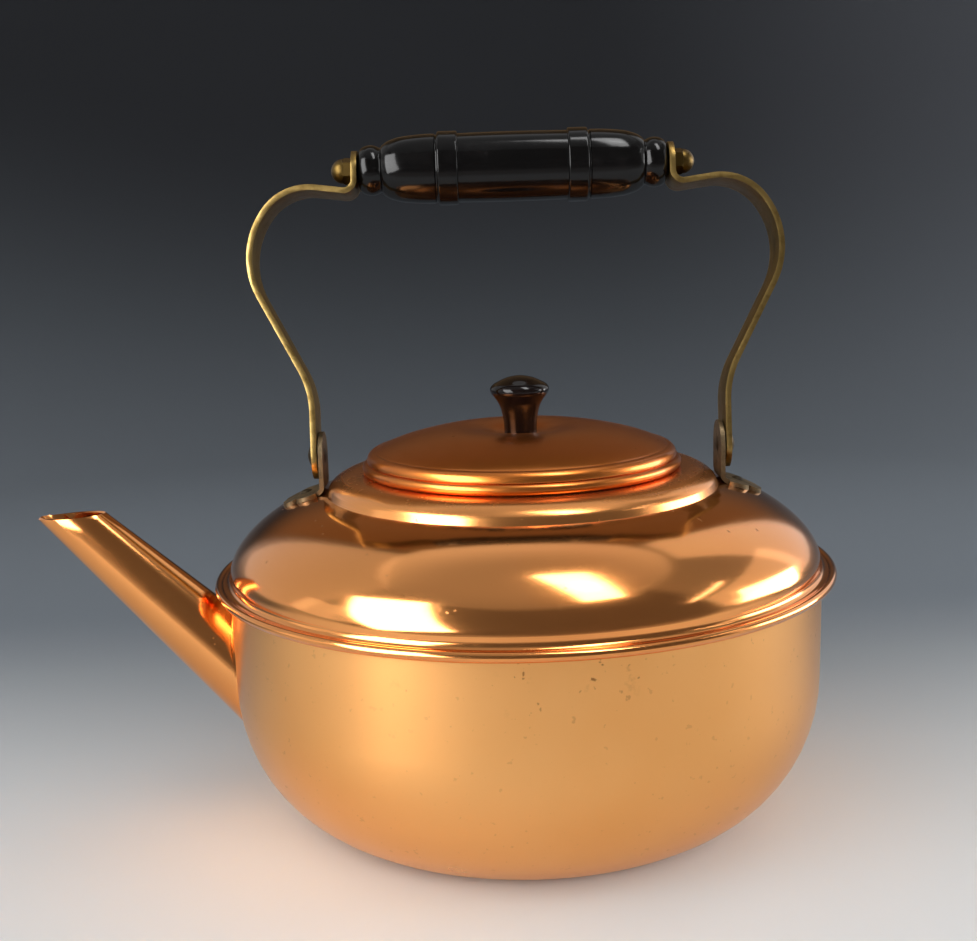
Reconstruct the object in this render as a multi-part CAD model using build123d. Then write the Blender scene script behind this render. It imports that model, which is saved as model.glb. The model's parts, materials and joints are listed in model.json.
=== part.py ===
from build123d import *
import math
import os

# Copper kettle: a spun bowl and dome joined by a rolled seam, a conical spout, a lift-off
# lid and a bail handle that swings on two riveted lugs.  Millimetres, +Z up, origin at the
# centre of the base's underside.  The spout points along -X, which is the front.

# ---- driving dimensions ----------------------------------------------------------------
SHEET = 1.2            # body and lid sheet
FLANGE = 0.8           # thinned edge of each body half inside the rolled seam
BASE_R = 60.5          # flat base
BELLY_R = 106.9        # widest part of the bowl wall
BELLY_Z = 53.0         # height where the wall turns upright
RIM_R = 107.3          # bowl wall at the seam
SEAM_Z = 90.0          # joint plane of the two body halves
BEAD_R = 110.7         # centre circle of the rolled seam
BEAD_WIRE = 1.7        # radius of its round section
DOME_R = 106.7         # dome wall above its flared foot
FOOT_BEND = 2.2        # outer radius where the dome wall flares into the seam
DOME_FOOT_R = 71.0     # where the dome meets the collar's riser
DOME_FOOT_Z = 120.4
CREASE_R = 70.1        # sharp edge of the collar
CREASE_Z = 122.6
SEAT_R = 60.8          # outer edge of the lid seat
SEAT_Z = 127.0
NECK_R = 53.6          # clear mouth of the body
NECK_END_Z = 118.5
LID_R = 57.8           # outer radius of the lid's bead
LID_BEAD = 2.0         # radius of the bead's round section
LID_STEP_R = 52.4      # edge of the crown above the band
LID_STEP_Z = 135.1
SKIRT_R = 53.2         # sleeve under the lid, a loose fit in the neck
CREST_R = 23.0         # highest circle of the crown
CREST_Z = 142.0
DISH_R = 6.8           # flat under the knob
DISH_Z = 139.5
KNOB_H = 20.9
KNOB_R = 10.7
SCREW_R = 2.0
SPOUT_WALL = (-108.1, 56.9)    # centre line where the spout meets the bowl (x, z)
SPOUT_MOUTH = (-166.2, 113.7)  # centre line at the mouth
SPOUT_DIPS = 3.5               # outward slope of the mouth, degrees
SPOUT_BASE_D = 29.4
SPOUT_TIP_D = 18.2
SPOUT_BASE_W = 28.6            # the same two sections measured across
SPOUT_TIP_W = 13.0
SPOUT_SHEET = 1.0
PIVOT_Z = 133.3
LEAN = 9.0             # the bail stands this far back from upright, degrees
LUG_X = 71.5           # inner face of each ear
LUG_T = 1.6
LUG_BEND = 2.0         # inside radius where the ear turns out into the foot
EAR_W = 17.4
FOOT_RIVET_X = 78.6    # the one rivet in the middle of each foot
RIVET_R = 2.4
STRAP_X = 73.6         # inner face of each strap at its pivot
STRAP_T = 2.0
STRAP_W = 17.0
GRIP_L = 102.7         # pivot axis to grip axis
GRIP_END = 56.0        # half length of the grip
TAB_X = GRIP_END + 0.1  # inner face of the strap's upturned tab
TAB_TOP = 109.8
ROD_R = 3.0
NUT_R = 4.8
NUT_TIP = 65.9
CLEAR = 0.05           # running clearance on a radius

DOME_START = SEAM_Z + SHEET + FOOT_BEND     # height where the dome wall starts above its flare
TILT = math.degrees(math.atan2(SPOUT_MOUTH[1] - SPOUT_WALL[1], SPOUT_WALL[0] - SPOUT_MOUTH[0]))


# ---- helpers ---------------------------------------------------------------------------
def section(*curves):
    """A face from curves drawn in (radius, height)."""
    return make_face([edge for curve in curves for edge in curve.edges()])


def turned(*curves):
    """A solid of revolution about the kettle's axis from a (radius, height) outline."""
    return revolve(Plane.XZ * section(*curves), Axis.Z)


def tube(outer, inner, low, high):
    return Pos(0, 0, low) * extrude(Circle(outer) - Circle(inner), high - low)


def rod_x(radius, start, end):
    """A cylinder along X."""
    return Pos(start, 0, 0) * Rot(0, 90, 0) * extrude(Circle(radius), end - start)


def turned_x(*curves):
    """A solid turned about the X axis from an (x, radius) outline."""
    return revolve(Plane.XY * section(*curves), Axis.X)


def shifted(curve, distance, steps=10):
    """The curve moved sideways, to the right of its direction, by a distance."""
    if distance == 0:
        return curve
    points = []
    for i in range(steps + 1):
        tangent = curve % (i / steps)
        points.append(curve @ (i / steps) + Vector(tangent.Y, -tangent.X) * distance)
    return Spline(*points, tangents=(curve % 0, curve % 1))


def cap_arc(radius, low, high):
    """The arc of a round cap centred on the axis, from its rim up to its top."""
    rise = high - low
    sphere = (radius ** 2 + rise ** 2) / (2 * rise)
    half = math.asin(radius / sphere) / 2
    middle = (sphere * math.sin(half), high - sphere + sphere * math.cos(half))
    return ThreePointArc((radius, low), middle, (0, high))


def write(name, shape):
    shape.label = name
    export_step(shape, f"parts/{name}.step")


# ---- body ------------------------------------------------------------------------------
def bowl_fill(inset, top):
    """The bowl's whole volume, drawn inside its outer face by an inset."""
    wall = RIM_R - inset
    belly = BELLY_R - inset
    return turned(
        Line((0, inset), (BASE_R, inset)),
        EllipticalCenterArc((BASE_R, BELLY_Z), belly - BASE_R, BELLY_Z - inset, 270, arc_size=90),
        Polyline((belly, BELLY_Z), (wall, top), (0, top), (0, inset)),
    )


def dome_curve():
    """The dome's outer face from the flare up to the riser."""
    return Spline(
        (DOME_R, DOME_START), (106.0, 98.4), (102.0, 103.8), (92.0, 112.4), (80.5, 117.8),
        (DOME_FOOT_R, DOME_FOOT_Z), tangents=((0, 1), (-1, 0.24)),
    )


def make_bowl():
    flange_r = BEAD_R + 0.1
    shell = bowl_fill(0, SEAM_Z) - bowl_fill(SHEET, SEAM_Z + 1)
    shell += tube(flange_r, RIM_R - SHEET, SEAM_Z - FLANGE, SEAM_Z)
    return shell - spout_cone(-SPOUT_SHEET, 30, 4)


def make_dome():
    """One sheet: flange, flared foot, wall, riser, collar, lid seat and neck."""
    flange_r = BEAD_R + 0.1
    flare_r = DOME_R + FOOT_BEND
    flare_z = DOME_START
    outer = dome_curve()
    inner = shifted(outer, -SHEET)
    inner_end = inner @ 1
    neck_out = NECK_R + SHEET
    collar = ThreePointArc((CREASE_R, CREASE_Z), (66.2, 125.8), (SEAT_R, SEAT_Z))
    collar_in = ThreePointArc((CREASE_R - 1.4, CREASE_Z - 0.7), (65.6, 124.6), (SEAT_R - 0.2, SEAT_Z - SHEET))
    return turned(
        Polyline((flare_r, SEAM_Z), (flange_r, SEAM_Z), (flange_r, SEAM_Z + FLANGE),
                 (flare_r, SEAM_Z + FLANGE), (flare_r, SEAM_Z + SHEET)),
        CenterArc((flare_r, flare_z), FOOT_BEND, 180, 90),
        outer,
        Line((DOME_FOOT_R, DOME_FOOT_Z), (CREASE_R, CREASE_Z)),
        collar,
        Line((SEAT_R, SEAT_Z), (neck_out, SEAT_Z)),
        RadiusArc((neck_out, SEAT_Z), (NECK_R, SEAT_Z - SHEET), -SHEET),
        Polyline((NECK_R, SEAT_Z - SHEET), (NECK_R, NECK_END_Z), (neck_out, NECK_END_Z),
                 (neck_out, SEAT_Z - SHEET), (SEAT_R - 0.2, SEAT_Z - SHEET)),
        collar_in,
        Line((CREASE_R - 1.4, CREASE_Z - 0.7), (inner_end.X, inner_end.Y)),
        inner,
        CenterArc((flare_r, flare_z), FOOT_BEND + SHEET, 180, 90),
    )


def make_seam_bead():
    """The rolled edge that grips both flanges, round outside and open towards the kettle."""
    lip_r = BEAD_R - math.sqrt(BEAD_WIRE ** 2 - FLANGE ** 2)
    grip_r = BEAD_R + 0.1
    lip_angle = 180 - math.degrees(math.asin(FLANGE / BEAD_WIRE))
    step = lip_angle / 4
    rounds = [CenterArc((BEAD_R, SEAM_Z), BEAD_WIRE, i * step - lip_angle, step) for i in range(8)]
    grooved = section(
        *rounds,
        Polyline((lip_r, SEAM_Z + FLANGE), (grip_r, SEAM_Z + FLANGE), (grip_r, SEAM_Z - FLANGE),
                 (lip_r, SEAM_Z - FLANGE)),
    )
    return revolve(Plane.XZ * grooved, Axis.Z, clean=False)


# ---- spout -----------------------------------------------------------------------------
def spout_frame(distance):
    """A plane square to the spout's centre line, a distance out from the wall point."""
    slope = math.radians(TILT)
    origin = (SPOUT_WALL[0] - distance * math.cos(slope), 0, SPOUT_WALL[1] + distance * math.sin(slope))
    return Plane(origin, x_dir=(0, 1, 0), z_dir=(-math.cos(slope), 0, math.sin(slope)))


def spout_cone(grow, back, front):
    """The spout's tapered oval, offset outwards by grow, from back inside to front beyond the tip."""
    length = math.dist(SPOUT_WALL, SPOUT_MOUTH)
    faces = []
    for distance in (-back, length + front):
        share = distance / length
        width = SPOUT_BASE_W + (SPOUT_TIP_W - SPOUT_BASE_W) * share + 2 * grow
        depth = SPOUT_BASE_D + (SPOUT_TIP_D - SPOUT_BASE_D) * share + 2 * grow
        faces.append(spout_frame(distance) * Ellipse(width / 2, depth / 2))
    return loft(faces)


def make_spout():
    mouth = Pos(SPOUT_MOUTH[0], 0, SPOUT_MOUTH[1]) * Rot(0, -SPOUT_DIPS, 0)
    above = mouth * Pos(0, 0, 30) * Box(90, 60, 60)
    return spout_cone(0, 30, 24) - spout_cone(-SPOUT_SHEET, 31, 25) - above - bowl_fill(0, SEAM_Z)


def make_spout_flange():
    """A narrow soldered collar that follows the bowl wall round the spout."""
    skin = bowl_fill(-0.8, SEAM_Z - 3) - bowl_fill(0, SEAM_Z)
    return (skin & spout_cone(2.8, 12, -40)) - spout_cone(0, 14, 0)


# ---- lugs and rivets, made on the rear (+X) side -----------------------------------------
def dome_point(radius):
    """Height and outward slope of the dome's outer face at a radius."""
    curve = dome_curve()
    low, high = 0.0, 1.0
    for _ in range(40):
        middle = (low + high) / 2
        if (curve @ middle).X > radius:
            low = middle
        else:
            high = middle
    tangent = curve % low
    return (curve @ low).Y, math.degrees(math.atan2(tangent.Y, -tangent.X))


def dome_layer(start, end):
    """The space between two offsets of the dome's outer face."""
    outer = dome_curve()
    low = shifted(outer, start)
    high = shifted(outer, end)
    return turned(low, Line(low @ 1, high @ 1), high, Line(high @ 0, low @ 0))


FOOT_LOBES = ((77.6, 6.8, 4.2), (83.3, 3.9, 3.5), (85.0, 0, 2.6))   # x, y and radius, on one side


def lug_outline():
    """Plan of the lug's foot: a leaf with two scallops each side and a blunt tip."""
    leaf = Pos((LUG_X + FOOT_RIVET_X) / 2, 0) * Rectangle(FOOT_RIVET_X - LUG_X, EAR_W * 0.92)
    leaf += Pos(79.0, 0) * Circle(6.4)
    for x, y, radius in FOOT_LOBES:
        leaf += [Pos(x, side * y) * Circle(radius) for side in (1, -1)]
    return leaf


def rivet_place():
    """Puts the foot rivet square to the dome."""
    height, slope = dome_point(FOOT_RIVET_X)
    return Pos(FOOT_RIVET_X, 0, height) * Rot(0, slope, 0)


def rivet_hole():
    return rivet_place() * Pos(0, 0, -6) * extrude(Circle(1.5 + CLEAR), 12)


def make_lug():
    """A leaf that follows the dome, turned up through a round bend into the ear."""
    inner_r = LUG_BEND
    outer_r = LUG_BEND + LUG_T
    bend_x = LUG_X + outer_r
    foot_z, slope = dome_point(bend_x - 1)
    drop = math.tan(math.radians(slope))
    bend_z = foot_z - drop + outer_r / math.cos(math.radians(slope))
    sweep_angle = 90 - slope
    bend = section(
        CenterArc((bend_x, bend_z), outer_r, 180, sweep_angle),
        Line(*(Vector(bend_x, bend_z) + Vector(-r, 0).rotate(Axis.Z, sweep_angle) for r in (outer_r, inner_r))),
        CenterArc((bend_x, bend_z), inner_r, 180 + sweep_angle, -sweep_angle),
        Line((LUG_X + LUG_T, bend_z), (LUG_X, bend_z)),
    )
    bend = extrude(Plane.XZ * bend, EAR_W * 0.46, both=True)
    beyond = Pos(bend_x, 0, bend_z) * Rot(0, slope, 0) * Pos(20, 0, 0) * Box(40, 40, 40)
    plan = Pos(0, 0, 100) * extrude(lug_outline(), 40) - rivet_hole()
    foot = dome_layer(0, LUG_T) & plan & beyond
    height = PIVOT_Z - bend_z
    ear = Pos(0, -height / 2) * Rectangle(EAR_W, height) + Circle(EAR_W / 2) - Circle(RIVET_R)
    ear = extrude(Plane.YZ.offset(LUG_X) * Pos(0, PIVOT_Z) * ear, LUG_T)
    return foot + bend + ear


def make_lug_rivet():
    """A low domed head outside and a flat tail inside the dome."""
    shank = Pos(0, 0, -SHEET - 0.1) * extrude(Circle(1.5), SHEET + LUG_T + 0.1)
    head = Pos(0, 0, LUG_T) * round_head(2.3, 0.9)
    tail = Pos(0, 0, -SHEET - 0.9) * extrude(Circle(2.4), 0.8)
    return rivet_place() * (shank + head + tail)


def round_head(radius, height):
    """A low domed head standing on the XY plane."""
    return turned(Line((0, 0), (radius, 0)), cap_arc(radius, 0, height), Line((0, height), (0, 0)))


def make_pivot_rivet():
    """Fixed in the ear; the strap turns on its shank."""
    outer_face = STRAP_X + STRAP_T + 0.15
    pin = rod_x(RIVET_R, LUG_X, outer_face)
    inner = Pos(LUG_X, 0, 0) * Rot(0, -90, 0) * round_head(2.9, 0.5)
    outer = Pos(outer_face, 0, 0) * Rot(0, 90, 0) * round_head(4.6, 1.9)
    return Pos(0, 0, PIVOT_Z) * (pin + inner + outer)


# ---- bail handle, drawn upright with its pivot at the origin, then leaned back ------------
def stood(shape):
    return Pos(0, 0, PIVOT_Z) * Rot(-LEAN, 0, 0) * shape


def strap_path():
    """Centre line from the tab beside the grip to the pivot, as (x, height)."""
    pivot_x = STRAP_X + STRAP_T / 2
    tab_x = TAB_X + STRAP_T / 2
    corners = [(tab_x, TAB_TOP - STRAP_W / 2), (tab_x, 93.9), (82.6, 97.4), (100.4, 73.2), (pivot_x, 23.6),
               (pivot_x, 0)]
    return FilletPolyline(*corners, radius=[3.8, 19.5, 29.0, 34.0])


def make_strap():
    path = Plane.XZ * strap_path()
    start = Plane(path @ 0, x_dir=(1, 0, 0), z_dir=path % 0)
    strap = sweep(start * Rectangle(STRAP_T, STRAP_W), path)
    strap += rod_x(STRAP_W / 2, STRAP_X, STRAP_X + STRAP_T)
    strap += Pos(0, 0, TAB_TOP - STRAP_W / 2) * rod_x(STRAP_W / 2, TAB_X, TAB_X + STRAP_T)
    strap -= rod_x(RIVET_R + CLEAR, STRAP_X - 3, STRAP_X + 6)
    return strap - Pos(0, 0, GRIP_L) * rod_x(ROD_R + CLEAR, GRIP_END - 4, GRIP_END + 8)


def make_grip():
    """Turned grip: a barrel between two raised bands, a tapering bulb, a groove and a ball each end."""
    half = [
        Line((0, 0), (0, 12.5)),
        ThreePointArc((0, 12.5), (9.8, 12.45), (19.7, 12.3)),
        Line((19.7, 12.3), (19.8, 12.7)),
        ThreePointArc((19.8, 12.7), (20.1, 13.1), (20.6, 13.2)),
        Line((20.6, 13.2), (26.4, 13.2)),
        ThreePointArc((26.4, 13.2), (26.9, 13.05), (27.2, 12.6)),
        Line((27.2, 12.6), (27.3, 12.1)),
        ThreePointArc((27.3, 12.1), (27.7, 12.0), (28.1, 12.4)),
        Spline((28.1, 12.4), (35.5, 12.15), (42.9, 11.0), (47.4, 8.4), tangents=((1, 0.02), (0.55, -1))),
        ThreePointArc((47.4, 8.4), (47.9, 8.0), (48.4, 8.2)),
        Spline((48.4, 8.2), (51.9, 8.95), (55.0, 7.6), (GRIP_END, 5.0), tangents=((1, 0.6), (0.05, -1))),
        Line((GRIP_END, 5.0), (GRIP_END, 0)),
        Line((GRIP_END, 0), (0, 0)),
    ]
    side = turned_x(*half)
    grip = side + mirror(side, Plane.YZ)
    return Pos(0, 0, GRIP_L) * (grip - rod_x(ROD_R + CLEAR, -GRIP_END - 2, GRIP_END + 2))


def make_grip_rod():
    reach = GRIP_END + STRAP_T + 4.6
    return Pos(0, 0, GRIP_L) * rod_x(ROD_R, -reach, reach)


def make_acorn_nut():
    """Hexagon with chamfered corners under a half-round cap."""
    start = TAB_X + STRAP_T
    shoulder = start + 3.4
    cap_r = NUT_TIP - shoulder
    skirt = Pos(start, 0, 0) * Rot(0, 90, 0) * extrude(RegularPolygon(NUT_R, 6, major_radius=True), 3.4)
    skirt &= turned_x(
        Polyline((start, 0), (start, NUT_R - 0.4), (start + 0.4, NUT_R), (shoulder - 0.5, NUT_R),
                 (shoulder, cap_r), (shoulder, 0), (start, 0)),
    )
    cap = turned_x(
        Line((shoulder, 0), (shoulder, cap_r)),
        CenterArc((shoulder, 0), cap_r, 0, 90),
        Line((NUT_TIP, 0), (shoulder, 0)),
    )
    bore = rod_x(ROD_R + CLEAR, start - 1, start + 4.7)
    return Pos(0, 0, GRIP_L) * (skirt + cap - bore)


# ---- lid -------------------------------------------------------------------------------
def make_lid_shell():
    """One sheet: dished crown, step, rounded band, groove and bead."""
    bead_r = LID_R - LID_BEAD
    bead_z = SEAT_Z + LID_BEAD
    return turned(
        Line((SCREW_R + CLEAR, DISH_Z), (DISH_R, DISH_Z)),
        Spline((DISH_R, DISH_Z), (14.5, 141.4), (CREST_R, CREST_Z), (38.5, 139.7),
               (LID_STEP_R, LID_STEP_Z), tangents=((1, 0.1), (1, -0.48))),
        Line((LID_STEP_R, LID_STEP_Z), (LID_STEP_R + 0.5, LID_STEP_Z - 0.3)),
        ThreePointArc((LID_STEP_R + 0.5, LID_STEP_Z - 0.3), (55.4, 133.6), (bead_r + 0.3, bead_z + 2.3)),
        Line((bead_r + 0.3, bead_z + 2.3), (bead_r, bead_z + LID_BEAD)),
        ThreePointArc((bead_r, bead_z + LID_BEAD), (LID_R, bead_z), (bead_r, SEAT_Z)),
        Polyline((bead_r, SEAT_Z), (SKIRT_R, SEAT_Z), (SKIRT_R, SEAT_Z + SHEET),
                 (LID_STEP_R - 1.0, LID_STEP_Z - 1.4)),
        Spline((LID_STEP_R - 1.0, LID_STEP_Z - 1.4), (38.0, 138.4), (CREST_R, CREST_Z - SHEET),
               (14.8, 140.2), (DISH_R + 0.2, DISH_Z - SHEET), tangents=((-1, 0.48), (-1, -0.1))),
        Line((DISH_R + 0.2, DISH_Z - SHEET), (SCREW_R + CLEAR, DISH_Z - SHEET)),
        Line((SCREW_R + CLEAR, DISH_Z - SHEET), (SCREW_R + CLEAR, DISH_Z)),
    )


def make_lid_skirt():
    """The sleeve that centres the lid in the neck, soldered inside the lid's edge."""
    return tube(SKIRT_R, SKIRT_R - 0.9, SEAT_Z - 10.5, SEAT_Z + SHEET)


def make_lid_knob():
    top = DISH_Z + KNOB_H
    knob = turned(
        Line((0, DISH_Z), (5.9, DISH_Z)),
        Spline((5.9, DISH_Z), (6.4, 146.0), (7.8, 150.4), (KNOB_R - 0.4, 153.9),
               tangents=((0, 1), (0.8, 1))),
        ThreePointArc((KNOB_R - 0.4, 153.9), (KNOB_R, 155.6), (9.0, 157.7)),
        cap_arc(9.0, 157.7, top),
        Line((0, top), (0, DISH_Z)),
    )
    return knob - Pos(0, 0, DISH_Z - 1) * extrude(Circle(SCREW_R), 11)


def make_knob_washer():
    return tube(5.0, SCREW_R + CLEAR, DISH_Z - SHEET - 0.8, DISH_Z - SHEET)


def make_knob_screw():
    seat = DISH_Z - SHEET - 0.8
    shank = Pos(0, 0, seat) * extrude(Circle(SCREW_R), 11.6)
    head = Pos(0, 0, seat) * Rot(180, 0, 0) * round_head(3.8, 2.2)
    slot = Pos(0, 0, seat - 2.0) * Box(9, 1.0, 1.6)
    return shank + head - slot


# ---- write -----------------------------------------------------------------------------
def both_sides(name, shape):
    """Writes a rear (+X) piece and its front (-X) twin."""
    write(f"rear_{name}", shape)
    write(f"front_{name}", mirror(shape, Plane.YZ))


def main():
    os.makedirs("parts", exist_ok=True)
    write("bowl", make_bowl())
    hole = rivet_hole()
    write("dome", make_dome() - hole - mirror(hole, Plane.YZ))
    write("seam_bead", make_seam_bead())
    write("spout", make_spout())
    write("spout_flange", make_spout_flange())
    both_sides("lug", make_lug())
    both_sides("lug_rivet", make_lug_rivet())
    both_sides("pivot_rivet", make_pivot_rivet())
    both_sides("strap", stood(make_strap()))
    both_sides("acorn_nut", stood(make_acorn_nut()))
    write("grip", stood(make_grip()))
    write("grip_rod", stood(make_grip_rod()))
    write("lid_shell", make_lid_shell())
    write("lid_skirt", make_lid_skirt())
    write("lid_knob", make_lid_knob())
    write("knob_washer", make_knob_washer())
    write("knob_screw", make_knob_screw())


main()
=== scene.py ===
import json
import math

import bpy
from mathutils import Matrix, Vector


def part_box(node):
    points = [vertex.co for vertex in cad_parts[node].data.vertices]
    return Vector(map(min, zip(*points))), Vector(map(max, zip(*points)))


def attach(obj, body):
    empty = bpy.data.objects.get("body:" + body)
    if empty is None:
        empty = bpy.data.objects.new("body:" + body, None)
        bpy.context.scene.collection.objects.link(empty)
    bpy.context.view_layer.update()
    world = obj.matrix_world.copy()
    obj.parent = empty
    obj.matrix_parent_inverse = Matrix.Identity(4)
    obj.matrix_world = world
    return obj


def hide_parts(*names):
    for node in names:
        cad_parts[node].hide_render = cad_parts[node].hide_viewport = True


bl_info = {
    "name": "Copper Kettle",
    "version": (1, 0, 0),
    "blender": (4, 5, 0),
    "location": "View3D > Sidebar > Kettle",
    "description": "Dresses the copper kettle: spun sheet, rolled seam, spout, brass bail and black grip",
    "category": "Object",
}

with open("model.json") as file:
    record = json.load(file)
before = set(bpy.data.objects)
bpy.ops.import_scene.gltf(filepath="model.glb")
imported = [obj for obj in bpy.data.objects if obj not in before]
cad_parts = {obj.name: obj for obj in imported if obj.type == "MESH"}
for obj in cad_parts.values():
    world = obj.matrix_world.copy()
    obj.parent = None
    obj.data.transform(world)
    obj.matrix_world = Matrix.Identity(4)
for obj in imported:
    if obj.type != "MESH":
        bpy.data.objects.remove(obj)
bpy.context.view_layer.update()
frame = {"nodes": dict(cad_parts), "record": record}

MM = 0.001

# Heights and radii taken from the frame, in millimetres.
BEAD_LOW, BEAD_HIGH = (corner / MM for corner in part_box("seam_bead"))
LID_LOW, LID_HIGH = (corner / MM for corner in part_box("lid_shell"))
KNOB_LOW, KNOB_HIGH = (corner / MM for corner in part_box("lid_knob"))
GRIP_LOW, GRIP_HIGH = (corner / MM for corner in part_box("grip"))
PIVOT = Vector(next(j for j in frame["record"]["behaviour"]["joints"] if j["name"] == "bail_swing")["pos_m"])

SEAM_Z = (BEAD_LOW.z + BEAD_HIGH.z) / 2
BEAD_WIRE = (BEAD_HIGH.z - BEAD_LOW.z) / 2
BEAD_R = BEAD_HIGH.x - BEAD_WIRE
SEAT_Z = LID_LOW.z
GRIP_AXIS = Vector((0, (GRIP_LOW.y + GRIP_HIGH.y) / 2, (GRIP_LOW.z + GRIP_HIGH.z) / 2))
GRIP_END = GRIP_HIGH.x

# How far the bail leans back at rest, and how far the grip is from the pivots.
LEAN = math.atan2(GRIP_AXIS.y, GRIP_AXIS.z - PIVOT.z / MM)
BAIL_LENGTH = math.hypot(GRIP_AXIS.y, GRIP_AXIS.z - PIVOT.z / MM)


# ---- sizes, colours and stage settings ------------------------------------------------------

class KettleSizes(bpy.types.PropertyGroup):
    """Sizes of the sheet and of the forms that carry the kettle's look."""
    sheet: bpy.props.FloatProperty(
        name="Sheet", description="Thickness of the body and lid sheet", default=1.2 * MM, unit="LENGTH", precision=4)
    base_radius: bpy.props.FloatProperty(
        name="Base radius", description="Flat base of the bowl", default=60.5 * MM, unit="LENGTH", precision=4)
    belly_radius: bpy.props.FloatProperty(
        name="Belly radius", description="Where the bowl wall turns upright", default=106.9 * MM, unit="LENGTH",
        precision=4)
    belly_height: bpy.props.FloatProperty(
        name="Belly height", description="Height where the wall turns upright", default=53.0 * MM, unit="LENGTH",
        precision=4)
    rim_radius: bpy.props.FloatProperty(
        name="Rim radius", description="Bowl wall just under the seam", default=107.3 * MM, unit="LENGTH",
        precision=4)
    dome_radius: bpy.props.FloatProperty(
        name="Dome radius", description="Dome wall above its flared foot", default=106.7 * MM, unit="LENGTH",
        precision=4)
    neck_radius: bpy.props.FloatProperty(
        name="Neck radius", description="Clear mouth of the body", default=53.6 * MM, unit="LENGTH", precision=4)
    strap_width: bpy.props.FloatProperty(
        name="Strap width", description="Width of the bail's brass straps", default=17.0 * MM, unit="LENGTH",
        precision=4)
    strap_thickness: bpy.props.FloatProperty(
        name="Strap thickness", description="Thickness of the brass straps", default=2.0 * MM, unit="LENGTH",
        precision=4)


class KettleFinish(bpy.types.PropertyGroup):
    """Colours of the metals and the lacquer."""
    satin_copper: bpy.props.FloatVectorProperty(
        name="Satin copper", description="Bowl", subtype="COLOR", size=3, default=(0.92, 0.45, 0.155))
    bright_copper: bpy.props.FloatVectorProperty(
        name="Bright copper", description="Dome, lid and spout", subtype="COLOR", size=3,
        default=(0.90, 0.365, 0.108))
    tarnish: bpy.props.FloatVectorProperty(
        name="Tarnish", description="Specks and bloom on the copper", subtype="COLOR", size=3,
        default=(0.30, 0.12, 0.035))
    old_brass: bpy.props.FloatVectorProperty(
        name="Old brass", description="Straps and nuts", subtype="COLOR", size=3, default=(0.19, 0.12, 0.034))
    # Colour of the brighter band along the strap edges.
    edge_brass: bpy.props.FloatVectorProperty(
        name="Worn brass", description="Rubbed edges of the straps", subtype="COLOR", size=3,
        default=(0.42, 0.29, 0.10))
    lug_metal: bpy.props.FloatVectorProperty(
        name="Lug metal", description="Tarnished lugs and rivets", subtype="COLOR", size=3,
        default=(0.17, 0.122, 0.066))
    lacquer: bpy.props.FloatVectorProperty(
        name="Lacquer", description="Grip and knob", subtype="COLOR", size=3, default=(0.0022, 0.002, 0.002))


class StageSettings(bpy.types.PropertyGroup):
    """Floor, backdrop and lamps."""
    floor: bpy.props.FloatVectorProperty(
        name="Floor", description="Pale floor", subtype="COLOR", size=3, default=(0.75, 0.775, 0.79))
    slate: bpy.props.FloatVectorProperty(
        name="Slate", description="Graded paper just behind the kettle", subtype="COLOR", size=3,
        default=(0.215, 0.245, 0.28))
    night: bpy.props.FloatVectorProperty(
        name="Night", description="Dark top of the graded paper", subtype="COLOR", size=3,
        default=(0.030, 0.032, 0.037))
    # Painted reflection: a warm colour over the paper that only mirrored rays see.
    mirrored_warmth: bpy.props.FloatVectorProperty(
        name="Upper paper", description="Warm top of the paper, seen only in the copper", subtype="COLOR", size=3,
        default=(0.38, 0.235, 0.115))
    side_wall: bpy.props.FloatVectorProperty(
        name="Side wall", description="Pale walls at the sides", subtype="COLOR", size=3,
        default=(0.70, 0.69, 0.68))
    front_wall: bpy.props.FloatVectorProperty(
        name="Front wall", description="Grey wall behind the camera", subtype="COLOR", size=3,
        default=(0.29, 0.275, 0.265))
    front_light: bpy.props.FloatProperty(
        name="Front light", description="Brightness of the air over the front", default=0.31, min=0)
    back_light: bpy.props.FloatProperty(
        name="Back light", description="Brightness of the air over the back", default=0.76, min=0)
    top_light: bpy.props.FloatProperty(
        name="Top light", description="Brightness straight above", default=0.40, min=0)
    lamp_level: bpy.props.FloatProperty(
        name="Lamp level", description="Share of each lamp's full strength", default=1.0, min=0, soft_max=2)


# ---- modelling helpers ------------------------------------------------------------------------

def pick(piece):
    """Leaves one object selected and active."""
    bpy.ops.object.select_all(action="DESELECT")
    piece.select_set(True)
    bpy.context.view_layer.objects.active = piece


def name_piece(piece, name):
    """Gives an object and its data one name."""
    piece.name = name
    piece.data.name = name
    return piece


def line(*points):
    """Knots of straight runs."""
    return [(Vector(p), Vector(p), Vector(p)) for p in points]


def arc(centre, radii, start, end):
    """Knots of a round or oval arc; angles in degrees, 0 along the first axis."""
    across, up = radii if isinstance(radii, tuple) else (radii, radii)
    count = max(1, math.ceil(abs(end - start) / 90 - 1e-6))
    step = math.radians(end - start) / count
    reach = 4 / 3 * math.tan(step / 4)
    knots = []
    for i in range(count + 1):
        angle = math.radians(start) + i * step
        point = Vector((centre[0] + across * math.cos(angle), centre[1] + up * math.sin(angle)))
        along = Vector((-across * math.sin(angle), up * math.cos(angle))) * reach
        before = point - along if i > 0 else point
        after = point + along if i < count else point
        knots.append((point, before, after))
    return knots


def flow(*points, start=None, end=None):
    """Knots of a smooth curve through points, with the given directions at its ends."""
    points = [Vector(p) for p in points]
    last = len(points) - 1
    knots = []
    for i, point in enumerate(points):
        if i == 0:
            along = Vector(start) if start else points[1] - point
        elif i == last:
            along = Vector(end) if end else point - points[last - 1]
        else:
            before = (point - points[i - 1]).length
            after = (points[i + 1] - point).length
            along = (point - points[i - 1]) / before * after + (points[i + 1] - point) / after * before
        along = along.normalized()
        back = point - along * (point - points[i - 1]).length / 3 if i > 0 else point
        ahead = point + along * (points[i + 1] - point).length / 3 if i < last else point
        knots.append((point, back, ahead))
    return knots


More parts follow.
